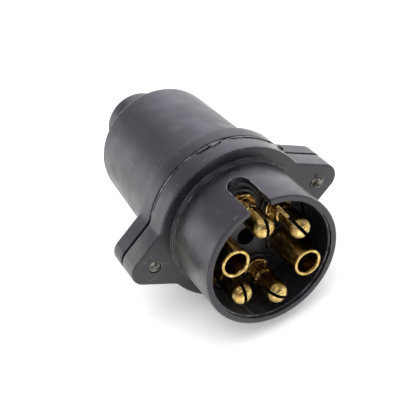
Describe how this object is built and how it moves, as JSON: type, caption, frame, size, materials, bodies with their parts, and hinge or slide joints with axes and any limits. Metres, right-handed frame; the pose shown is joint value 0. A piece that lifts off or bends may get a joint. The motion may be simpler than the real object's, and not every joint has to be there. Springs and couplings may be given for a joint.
{
  "type": "trailer wiring connector",
  "caption": "Round plastic trailer plug with a keyed collar, split pins and socket tubes inside, two screw ears at the flange and a rear cover with a cable neck.",
  "frame": {"origin": "centre of the collar's rim on the plug's axis", "axes": "-Y out of the mating end, +Y towards the cable end, +Z the side with the keyway, +X and -X along the two flange ears"},
  "size_m": [0.0718, 0.0992, 0.0514],
  "materials": {
    "housing_plastic": "satin",
    "cover_plastic": "satin",
    "gasket_rubber": "matt",
    "insert_plastic": "satin",
    "contact_brass": "turned",
    "terminal_steel": "zinc plated",
    "screw_steel": "zinc plated",
    "clamp_steel": "zinc plated",
    "grommet_rubber": "matt"
  },
  "bodies": {
    "mating_half": {"front_housing": "housing_plastic", "flange_gasket": "gasket_rubber", "contact_insert": "insert_plastic", "pin_contact_top": "contact_brass", "pin_contact_upper_right": "contact_brass", "pin_contact_lower_left": "contact_brass", "pin_contact_bottom": "contact_brass", "socket_contact_upper_left": "contact_brass", "socket_contact_lower_right": "contact_brass"},
    "cover": {"rear_cover": "cover_plastic", "cable_grommet": "grommet_rubber"},
    "left_flange_screw": {"left_flange_screw": "screw_steel"},
    "right_flange_screw": {"right_flange_screw": "screw_steel"},
    "clamp_bar": {"cable_clamp_bar": "clamp_steel"},
    "left_clamp_screw": {"left_clamp_screw": "screw_steel"},
    "right_clamp_screw": {"right_clamp_screw": "screw_steel"},
    "pin_terminal_screw_top": {"pin_terminal_screw_top": "terminal_steel"},
    "pin_terminal_screw_upper_right": {"pin_terminal_screw_upper_right": "terminal_steel"},
    "pin_terminal_screw_lower_left": {"pin_terminal_screw_lower_left": "terminal_steel"},
    "pin_terminal_screw_bottom": {"pin_terminal_screw_bottom": "terminal_steel"},
    "socket_terminal_screw_upper_left": {"socket_terminal_screw_upper_left": "terminal_steel"},
    "socket_terminal_screw_lower_right": {"socket_terminal_screw_lower_right": "terminal_steel"}
  },
  "joints": [
    {"name": "cover_slide", "type": "slide", "parent": "mating_half", "child": "cover", "axis": [0, 1, 0], "range_m": [0, 0.06]},
    {"name": "left_flange_screw_turn", "type": "hinge", "parent": "cover", "child": "left_flange_screw", "pos_m": [-0.0284, 0.0359, 0], "axis": [0, 1, 0], "continuous": true},
    {"name": "right_flange_screw_turn", "type": "hinge", "parent": "cover", "child": "right_flange_screw", "pos_m": [0.0284, 0.0359, 0], "axis": [0, 1, 0], "continuous": true},
    {"name": "clamp_bar_slide", "type": "slide", "parent": "cover", "child": "clamp_bar", "axis": [0, 0, 1], "range_m": [0, 0.004]},
    {"name": "left_clamp_screw_turn", "type": "hinge", "parent": "clamp_bar", "child": "left_clamp_screw", "pos_m": [-0.01, 0.07095, 0.001], "axis": [0, 0, 1], "continuous": true},
    {"name": "right_clamp_screw_turn", "type": "hinge", "parent": "clamp_bar", "child": "right_clamp_screw", "pos_m": [0.01, 0.07095, 0.001], "axis": [0, 0, 1], "continuous": true},
    {"name": "pin_terminal_screw_top_turn", "type": "hinge", "parent": "mating_half", "child": "pin_terminal_screw_top", "pos_m": [-0.00015, 0.0418, 0.01529], "axis": [0.0297, 0, 0.9996], "continuous": true},
    {"name": "pin_terminal_screw_upper_right_turn", "type": "hinge", "parent": "mating_half", "child": "pin_terminal_screw_upper_right", "pos_m": [0.01287, 0.0418, 0.00725], "axis": [0.8805, 0, 0.4741], "continuous": true},
    {"name": "pin_terminal_screw_lower_left_turn", "type": "hinge", "parent": "mating_half", "child": "pin_terminal_screw_lower_left", "pos_m": [-0.01407, 0.0418, -0.00725], "axis": [-0.8805, 0, -0.4741], "continuous": true},
    {"name": "pin_terminal_screw_bottom_turn", "type": "hinge", "parent": "mating_half", "child": "pin_terminal_screw_bottom", "pos_m": [-0.00105, 0.0418, -0.01529], "axis": [-0.0297, 0, -0.9996], "continuous": true},
    {"name": "socket_terminal_screw_upper_left_turn", "type": "hinge", "parent": "mating_half", "child": "socket_terminal_screw_upper_left", "pos_m": [-0.01362, 0.0418, 0.00804], "axis": [-0.8508, 0, 0.5255], "continuous": true},
    {"name": "socket_terminal_screw_lower_right_turn", "type": "hinge", "parent": "mating_half", "child": "socket_terminal_screw_lower_right", "pos_m": [0.01242, 0.0418, -0.00804], "axis": [0.8508, 0, -0.5255], "continuous": true}
  ]
}
